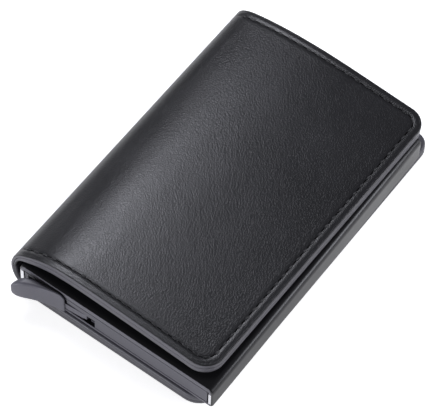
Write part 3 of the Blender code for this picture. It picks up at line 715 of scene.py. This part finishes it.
def thread_section(line, j, angles):
    """Ring of points round a stitch's middle line at its point j."""
    along = line[min(j + 1, STITCH_PARTS)] - line[max(j - 1, 0)]
    along /= np.linalg.norm(along)
    side = np.cross(along, [0, 0, 1.0])
    if np.linalg.norm(side) < UPRIGHT:
        side = np.cross(along, [1.0, 0, 0])
    side /= np.linalg.norm(side)
    other = np.cross(side, along)
    wave = math.sin(math.pi * (THREAD_WAVE[0] + THREAD_WAVE[1] * j / STITCH_PARTS))
    fat = THREAD_RADIUS * (THREAD_END_SHARE + (1 - THREAD_END_SHARE) * wave)
    return [line[j] + (side * math.cos(a) + other * math.sin(a)) * fat for a in angles]


def build_seam(name, sheet, outline, start, depth, sign):
    """Stitches that dive into the leather at both ends, and between them flat near-black slits
    that paint the shade of the needle holes.
    """
    path = seam_path(outline, start)
    lengths = running_length(path)
    count = int(lengths[-1] / STITCH_PITCH)
    step = lengths[-1] / count
    angles = np.arange(THREAD_SIDES) * 2 * math.pi / THREAD_SIDES
    t = np.arange(STITCH_PARTS + 1) / STITCH_PARTS
    sink = STITCH_SINK - STITCH_BOW * (1 - (2 * t - 1) ** 4)

    def place(s):
        return np.array([np.interp(s, lengths, path[:, 0]), np.interp(s, lengths, path[:, 1])])

    verts = []
    faces = []
    for k in range(count):
        u, v = place((k + 0.5) * step + (t - 0.5) * STITCH_LONG)
        line = sheet.at(u, v, depth(u, v) + sign * sink)
        base = len(verts)
        for j in range(STITCH_PARTS + 1):
            verts += thread_section(line, j, angles)
        for j in range(STITCH_PARTS):
            ring = base + j * THREAD_SIDES
            for i in range(THREAD_SIDES):
                i2 = (i + 1) % THREAD_SIDES
                faces.append([ring + i, ring + i2, ring + THREAD_SIDES + i2,
                              ring + THREAD_SIDES + i])
        faces.append([base + i for i in range(THREAD_SIDES)][::-1])
        faces.append([base + STITCH_PARTS * THREAD_SIDES + i for i in range(THREAD_SIDES)])
    slots = [0] * len(faces)
    turn = np.arange(SLIT_POINTS) * 2 * math.pi / SLIT_POINTS
    for k in range(count):
        before = place(k * step - SLIT_AIM)
        after = place(k * step + SLIT_AIM)
        along = (after - before) / np.linalg.norm(after - before)
        across = np.array([-along[1], along[0]])
        middle = (before + after) / 2
        u, v = (middle[:, None] + SLIT_LONG * np.cos(turn) * along[:, None]
                + SLIT_WIDE * np.sin(turn) * across[:, None])
        faces.append(list(range(len(verts), len(verts) + SLIT_POINTS)))
        slots.append(1)
        verts += list(sheet.at(u, v, depth(u, v) - sign * SLIT_RISE))
    return put(name, verts, faces, [THREAD, NEEDLE_HOLE_SHADE], face_slots=slots)


flap_seam = build_seam("flap_seam", FRONT, FLAP_OUTLINE, SEAM_START, seam_floor, 1)
flap_seam_inside = build_seam("flap_seam_inside", FRONT, FLAP_OUTLINE, INNER_SEAM_START,
                              flap_total, -1)
back_seam = build_seam("back_seam", BACK, BACK_OUTLINE, BACK_SEAM_START,
                       lambda u, v: BACK_SEAM_DEPTH, 1)


# Slip pockets in the flap

POCKET_GAP = 0.35
POCKET_MARGIN = BORDER + POCKET_GAP
POCKET_RADII = (1.6, 1.6)
POCKET_ROUND = 0.2
POCKET_SEAM_INSET = 1.6
POCKET_SEAM_WIDTH = 0.3
POCKET_SEAM_DEPTH = 0.10


def pocket(name, long, outside, inside):
    """A slip pocket of a length along u, between two depths, with a groove round it."""
    outline = Outline(FRONT.length - POCKET_MARGIN, POCKET_MARGIN, SPAN_V - POCKET_MARGIN,
                      POCKET_RADII, start=FRONT.length - long)

    def face(u, v, d):
        groove = POCKET_SEAM_DEPTH * bell(d, POCKET_SEAM_INSET, POCKET_SEAM_WIDTH)
        return inside - round_drop(d, POCKET_ROUND) - groove

    return build_sheet(
        name, FRONT, outline,
        lambda u, v, d: outside + round_drop(d, POCKET_ROUND),
        face,
        [LINING, EDGE, LINING], insets=POCKET_INSETS)


upper_pocket = pocket("slip_pocket_upper", long=48.5, outside=2.80, inside=3.36)
lower_pocket = pocket("slip_pocket_lower", long=38.5, outside=3.46, inside=4.02)

# Wrap pieces fixed where they stand, the pockets and inside seam attached to the front, and the
# imported layers they stand for hidden
for o in (flap, flap_lining, flap_seam):
    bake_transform(o)
for o in (back, back_lining, back_seam):
    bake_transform(o)
for o in (upper_pocket, lower_pocket, flap_seam_inside):
    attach(o, "front")
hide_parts("front_cover", "front_board")
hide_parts("front_lining", "spine_lining")
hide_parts("back_cover", "back_board", "spine_cover")
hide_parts("back_lining")
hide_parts("upper_pocket")
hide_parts("lower_pocket")


# Card case

CUT_LOW = 4.95
CUT_TOP = 9.9
ARC_STEPS = 8
# Insets and radii of the sleeve's outer end views: at its end face, on its rounded edge and along
# its sides, as the inset at the sides, below and above, the radius below and above, and the
# distance from the end
END_VIEW = (0.55, 0.26, 0.45, 0.42, 1.30, 0.0)
EDGE_VIEW = (0.17, 0.17, 0.17, 0.75, 1.65, 0.16)
SIDE_VIEW = (0.0, 0.0, 0.0, 0.90, 1.80, 0.55)
# And of its inner ones: at the end face and behind it
MOUTH_FLARE = 0.08
MOUTH_VIEW = (SIDE_WALL - MOUTH_FLARE, FLOOR_WALL - MOUTH_FLARE, TOP_WALL - MOUTH_FLARE,
              0.20, 0.20, 0.0)
INNER_VIEW = (SIDE_WALL, FLOOR_WALL, TOP_WALL, 0.15, 0.15, 0.10)
# End views from the near mouth out to the sides, and the bands of faces that they and the
# far ones make, in order round the outside from the near mouth to the far mouth
NEAR_VIEWS = [INNER_VIEW, MOUTH_VIEW, END_VIEW, EDGE_VIEW, SIDE_VIEW]
NEAR_MOUTH = 0
NEAR_FACE = 1
NEAR_EDGE = 2
NEAR_SIDE = 3
FAR_EDGE = 6
FAR_FACE = 7
FAR_MOUTH = 8
GREY_BANDS = (NEAR_MOUTH, NEAR_FACE, FAR_FACE, FAR_MOUTH)
# Least height of a tall face, how far under the top its corner begins, and how high the
# grey of the near end reaches on the sides
TALL_FACE = 1.0
TOP_CORNER = 0.6
GREY_TOP = 4.0
LEVEL_SLACK = 0.01
WALL_SLACK = 0.05


def rounded_rect(side, below, above, r_low, r_high):
    """End view of the sleeve, with two extra points on each side where the cut metal stops."""
    low = CASE_LOW + below + r_low
    high = CASE_TOP - above - r_high
    half_x = CASE_X - side
    pts = arc(half_x - r_low, low, r_low, -90, 0, ARC_STEPS)
    pts += [(half_x, CUT_LOW), (half_x, CUT_TOP)]
    pts += arc(half_x - r_high, high, r_high, 0, 90, ARC_STEPS)
    pts += arc(r_high - half_x, high, r_high, 90, 180, ARC_STEPS)
    pts += [(-half_x, CUT_TOP), (-half_x, CUT_LOW)]
    pts += arc(r_low - half_x, low, r_low, 180, 270, ARC_STEPS)
    return pts


def sleeve_slot(band, corners):
    """Near-black coat, painted shade for the gap under the flap (0), grey end (1) or bare cut
    metal (2) for a face in a band between views.
    """
    low_z = min(c[2] for c in corners)
    high_z = max(c[2] for c in corners)
    middle_x = (corners[0][0] + corners[1][0]) / 2
    in_cut = (low_z > CUT_LOW - LEVEL_SLACK and high_z < CUT_TOP + LEVEL_SLACK
              and high_z > low_z + TALL_FACE)
    on_side = (abs(middle_x) > CASE_X - SIDE_WALL - WALL_SLACK
               and high_z < CASE_TOP - TOP_CORNER)
    if in_cut and (band in (NEAR_FACE, FAR_FACE) or (band == NEAR_EDGE and middle_x < 0)):
        return 2
    if band in GREY_BANDS or (band in (NEAR_EDGE, FAR_EDGE) and not on_side):
        return 1
    return 1 if band == NEAR_SIDE and low_z < GREY_TOP else 0


def make_case():
    """Sleeve of the case: a skin from one mouth round the outside to the other and back."""
    verts = []
    for end, views in ((-1, NEAR_VIEWS), (1, NEAR_VIEWS[::-1])):
        for *shape, from_end in views:
            verts += [(x, end * (CASE_Y - from_end), z) for x, z in rounded_rect(*shape)]
    bands = 2 * len(NEAR_VIEWS)
    n = len(verts) // bands
    faces = []
    slots = []
    for k in range(bands):
        a = k * n
        b = (k + 1) % bands * n
        for i in range(n):
            j = (i + 1) % n
            faces.append([a + i, a + j, b + j, b + i])
            slots.append(sleeve_slot(k, (verts[a + i], verts[a + j])))
    obj = put("card_case", verts, faces, [SHADED_COAT, CASE_END, CUT_METAL], "case", slots)
    obj.data.set_sharp_from_angle(angle=SOFT_ANGLE)
    return obj


case = make_case()
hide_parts("case_sleeve")


# Thumb lever: rounded tab outside, and its body, neck, hub and stepped arm inside

TAB_ROOT = -16.05
TAB_TIP = -30.45
TAB_LOW = 4.3
TAB_TOP = 12.0
TAB_TIP_ROUND = 3.5
TAB_ROOT_ROUND = 2.0
TAB_EDGE_ROUND = 0.85
TAB_SECTIONS = 44
TAB_ARC_STEPS = 6
TAB_SHARP = math.radians(50)
# Bevel round the tab's root, and limits on the size and rounding of its sections
ROOT_BEVEL_LONG = 0.10
ROOT_BEVEL_DEEP = 0.08
LEAST_HALF = 0.02
ROUND_SHARE = 0.92
# Share of the way from root to tip, and how far the tab's face stands proud of the case there
TAB_FRONT = [(0.0, 0.68), (0.18, 1.14), (0.36, 1.87), (0.52, 2.65), (0.66, 3.43), (0.79, 4.26),
             (0.90, 4.99), (0.955, 5.20), (0.99, 4.99), (1.0, 4.50)]
TAB_BACK = [(0.0, 0.31), (0.30, 0.42), (0.60, 0.78), (0.76, 1.35), (0.88, 2.29), (0.95, 3.43),
            (0.985, 4.00), (1.0, 4.50)]
PIVOT = (-5.25, -43.1)
PIN_HOLE = 1.08
HUB = 2.2
# Centre, radius, start and end in degrees, and steps of the hub's round side and the pin's hole
HUB_ARC = (*PIVOT, HUB, 235, 317, 12)
HOLE_ARC = (*PIVOT, PIN_HOLE, 0, 345, 23)
BODY_LEVELS = (5.0, 9.2)
NECK_LEVELS = (5.9, 8.1)
LIP_LEVELS = (4.9, 7.0)
CORE_EDGE = 0.12
BODY = [(-26.75, -48.0), (-17.25, -48.0), (-17.25, -42.1), (-26.75, -42.1)]
NECK_LEFT = [(-25.55, -42.4), (-25.55, -47.5), (-17.25, -47.9), (-9.35, -47.3), (-8.85, -43.85)]
NECK_RIGHT = [(-0.95, -44.6), (-0.95, -40.9), (-5.25, -40.9)]
LIP = [(-17.55, -42.7), (-17.55, -47.62), (-10.55, -47.09), (-10.55, -42.7)]
ARM_ROOT = -1.25
ARM_TIP = 26.25
ARM_LOW = 5.0
ARM_TOP = 10.4
ARM_FRONT = -44.9
ARM_BACK = -40.4
ARM_STEPS = 4
STEP_BACK = 4.5
STEP_UP = 1.35


def fall(reach, r):
    """How far a rounded end of radius r falls short at a distance from the end."""
    return r - math.sqrt(max(r ** 2 - (r - min(reach, r)) ** 2, 0))


def make_tab():
    """Thumb tab with soft edges, as a row of rounded sections from its root to its tip."""
    front = catmull(TAB_FRONT)
    back = catmull(TAB_BACK)
    verts = []
    for k in range(-1, TAB_SECTIONS + 1):
        t = math.sin(math.pi / 2 * max(k, 0) / TAB_SECTIONS)
        x = TAB_ROOT + (TAB_TIP - TAB_ROOT) * t - (ROOT_BEVEL_LONG if k == 0 else 0.0)
        y0 = -CASE_Y - np.interp(t, front[:, 0], front[:, 1])
        y1 = -CASE_Y - np.interp(t, back[:, 0], back[:, 1])
        tip = fall(x - TAB_TIP, TAB_TIP_ROUND)
        z0 = TAB_LOW + tip
        z1 = TAB_TOP - tip - fall(TAB_ROOT - x, TAB_ROOT_ROUND)
        shrink = ROOT_BEVEL_DEEP if k == -1 else 0.0
        hy = max((y1 - y0) / 2 - shrink, LEAST_HALF)
        hz = max((z1 - z0) / 2 - shrink, LEAST_HALF)
        r = min(TAB_EDGE_ROUND, ROUND_SHARE * hy, ROUND_SHARE * hz)
        cy = (y0 + y1) / 2
        cz = (z0 + z1) / 2
        for sy, sz, start in ((1, -1, -90), (1, 1, 0), (-1, 1, 90), (-1, -1, 180)):
            corner = arc(cy + sy * (hy - r), cz + sz * (hz - r), r, start, start + 90,
                         TAB_ARC_STEPS)
            verts += [(x, y, z) for y, z in corner]
    n = 4 * (TAB_ARC_STEPS + 1)
    faces = []
    for k in range(TAB_SECTIONS + 1):
        for i in range(n):
            j = (i + 1) % n
            faces.append([k * n + i, k * n + j, (k + 1) * n + j, (k + 1) * n + i])
    faces.append(list(range(n)))
    faces.append(list(range((TAB_SECTIONS + 1) * n, (TAB_SECTIONS + 2) * n)))
    obj = put("thumb_lever", verts, faces, [PLASTIC], "lever")
    obj.data.set_sharp_from_angle(angle=TAB_SHARP)
    return obj


def flat(a, b, level):
    """Place of an outline's point in a slab that lies flat."""
    return a, b, level


def upright(a, b, level):
    """Place of an outline's point in a slab that stands along the near end."""
    return a, level, b


def slab(bm, outline, levels, place, hole=None):
    """A slab between two levels, with a hole if one is given, added to a mesh."""
    low, high = levels
    rims = {low: [], high: []}
    for loop in [outline] + ([hole] if hole else []):
        rings = {}
        for level in levels:
            rings[level] = [bm.verts.new([c * MM for c in place(a, b, level)]) for a, b in loop]
        n = len(loop)
        for i in range(n):
            j = (i + 1) % n
            bm.faces.new([rings[low][i], rings[low][j], rings[high][j], rings[high][i]])
        for level in levels:
            ring = rings[level]
            rims[level] += [bm.edges.get([ring[i], ring[(i + 1) % n]]) for i in range(n)]
    for level in levels:
        bmesh.ops.triangle_fill(bm, use_beauty=True, edges=rims[level])


def make_lever_core():
    """Body behind the tab, neck, lip and hub, and the arm whose steps fan the cards."""
    bm = bmesh.new()
    slab(bm, BODY, BODY_LEVELS, flat)
    slab(bm, NECK_LEFT + arc(*HUB_ARC) + NECK_RIGHT, NECK_LEVELS, flat, arc(*HOLE_ARC))
    slab(bm, LIP, LIP_LEVELS, flat)
    arm = [(ARM_ROOT, ARM_LOW)]
    for k in range(ARM_STEPS):
        x = ARM_TIP - STEP_BACK * k
        z = ARM_LOW + STEP_UP * k
        arm += [(x, z), (x, z + STEP_UP)]
    slab(bm, arm + [(ARM_ROOT, ARM_TOP)], (ARM_FRONT, ARM_BACK), upright)
    mesh = bpy.data.meshes.new("lever_core")
    bmesh.ops.recalc_face_normals(bm, faces=bm.faces)
    bm.to_mesh(mesh)
    bm.free()
    mesh.materials.append(PLASTIC)
    obj = bpy.data.objects.new("lever_core", mesh)
    scene.collection.objects.link(obj)
    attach(obj, "lever")
    soften(obj, CORE_EDGE)


thumb_lever = make_tab()
make_lever_core()
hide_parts("lever")


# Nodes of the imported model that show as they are, with a better material and softer edges

WELD_DISTANCE = 0.002


def dress(name, material, width):
    """A material on a node, and edges softened by a width if it isn't 0."""
    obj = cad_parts[name]
    if obj.data.materials:
        obj.material_slots[0].link = "OBJECT"
    else:
        obj.data.materials.append(None)
    obj.material_slots[0].material = material
    if width:
        weld = obj.modifiers.new("weld", "WELD")
        weld.merge_threshold = WELD_DISTANCE * MM
        soften(obj, width)


dress("end_cap", CAP, 0.14)
dress("pivot_pin", STEEL, 0)
dress("friction_strip_left", FELT, 0.2)
dress("friction_strip_right", FELT, 0.2)
dress("case_adhesive", TAPE, 0)


# Floor, camera and light. From here on, lengths are in metres.

FLOOR_HALF = 6.0
FLOOR_Z = -0.00002
FLOOR_GREY = (0.80, 0.80, 0.80, 1)
FLOOR_GLOW = 0.80
GLOW_IN_GLOSS = 0.60
WHITE = (1, 1, 1, 1)
IMAGE_WIDTH = 436.0
SENSOR = 36.0
FOCAL_PIXELS = 2900.0
HALF_PIXEL = 0.5 / IMAGE_WIDTH
CAMERA_AT = (0.218815, -0.328710, 0.668312)
# Turn from looking straight down, in degrees about X, Y and Z
CAMERA_TURN = (30.8610, -1.3872, 36.1581)
LAMP_COLOUR = (0.91, 0.92, 1.0)
AMBIENT = 0.17


def make_floor():
    """Pale floor that glows a little to the camera, so that it is white round the shadow."""
    s = FLOOR_HALF
    mesh = bpy.data.meshes.new("floor")
    mesh.from_pydata([(-s, -s, FLOOR_Z), (s, -s, FLOOR_Z), (s, s, FLOOR_Z), (-s, s, FLOOR_Z)],
                     [], [[0, 1, 2, 3]])
    obj = bpy.data.objects.new("floor", mesh)
    scene.collection.objects.link(obj)
    material = bpy.data.materials.new("floor_white")
    material.use_nodes = True
    tree = material.node_tree
    tree.nodes.clear()
    out = tree.nodes.new("ShaderNodeOutputMaterial")
    diffuse = tree.nodes.new("ShaderNodeBsdfDiffuse")
    diffuse.inputs["Color"].default_value = FLOOR_GREY
    glow = tree.nodes.new("ShaderNodeEmission")
    glow.inputs["Color"].default_value = WHITE
    glow.inputs["Strength"].default_value = FLOOR_GLOW
    lit = tree.nodes.new("ShaderNodeAddShader")
    path = tree.nodes.new("ShaderNodeLightPath")
    pick = tree.nodes.new("ShaderNodeMixShader")
    seen = math_node(tree, "MULTIPLY_ADD", path.outputs["Is Glossy Ray"], GLOW_IN_GLOSS,
                     path.outputs["Is Camera Ray"])
    tree.links.new(diffuse.outputs[0], lit.inputs[0])
    tree.links.new(glow.outputs[0], lit.inputs[1])
    tree.links.new(seen, pick.inputs[0])
    tree.links.new(diffuse.outputs[0], pick.inputs[1])
    tree.links.new(lit.outputs[0], pick.inputs[2])
    tree.links.new(pick.outputs[0], out.inputs[0])
    mesh.materials.append(material)


def make_camera():
    """Camera fitted to the straight edges of the case and the wrap in the photo."""
    data = bpy.data.cameras.new("camera")
    data.sensor_width = SENSOR
    data.lens = SENSOR * FOCAL_PIXELS / IMAGE_WIDTH
    data.shift_x = -HALF_PIXEL
    data.shift_y = HALF_PIXEL
    data.clip_start = 0.05
    data.clip_end = 20.0
    obj = bpy.data.objects.new("camera", data)
    scene.collection.objects.link(obj)
    turn = Euler([math.radians(a) for a in CAMERA_TURN]).to_matrix()
    obj.matrix_world = Matrix.Translation(CAMERA_AT) @ turn.to_4x4()
    scene.camera = obj


def area(name, place, size_x, size_y, power, aim=(0, 0, 0.01)):
    """Rectangular lamp that the camera doesn't see."""
    data = bpy.data.lights.new(name, "AREA")
    data.shape = "RECTANGLE"
    data.size = size_x
    data.size_y = size_y
    data.energy = power
    data.color = LAMP_COLOUR
    obj = bpy.data.objects.new(name, data)
    scene.collection.objects.link(obj)
    obj.location = place
    obj.visible_camera = False
    way = Vector(aim) - Vector(place)
    obj.rotation_euler = way.to_track_quat("-Z", "Y").to_euler()


def make_world():
    """Soft light from all sides, and a white background for the camera."""
    world = bpy.data.worlds.new("studio")
    scene.world = world
    world.use_nodes = True
    tree = world.node_tree
    tree.nodes.clear()
    out = tree.nodes.new("ShaderNodeOutputWorld")
    ambient = tree.nodes.new("ShaderNodeBackground")
    ambient.inputs["Color"].default_value = (*LAMP_COLOUR, 1)
    ambient.inputs["Strength"].default_value = AMBIENT
    white = tree.nodes.new("ShaderNodeBackground")
    white.inputs["Color"].default_value = WHITE
    white.inputs["Strength"].default_value = 1.0
    path = tree.nodes.new("ShaderNodeLightPath")
    pick = tree.nodes.new("ShaderNodeMixShader")
    tree.links.new(path.outputs["Is Camera Ray"], pick.inputs[0])
    tree.links.new(ambient.outputs[0], pick.inputs[1])
    tree.links.new(white.outputs[0], pick.inputs[2])
    tree.links.new(pick.outputs[0], out.inputs[0])


make_floor()
make_camera()
area("key", (-0.180, 0.080, 0.290), size_x=0.14, size_y=0.14, power=0.69,
     aim=(-0.02, -0.03, 0.02))
area("front", (-0.30, -0.96, 0.07), size_x=0.90, size_y=0.14, power=7.1)
area("right", (0.80, 0.42, 0.38), size_x=0.90, size_y=0.36, power=6.2)
make_world()

scene.view_settings.view_transform = "Standard"
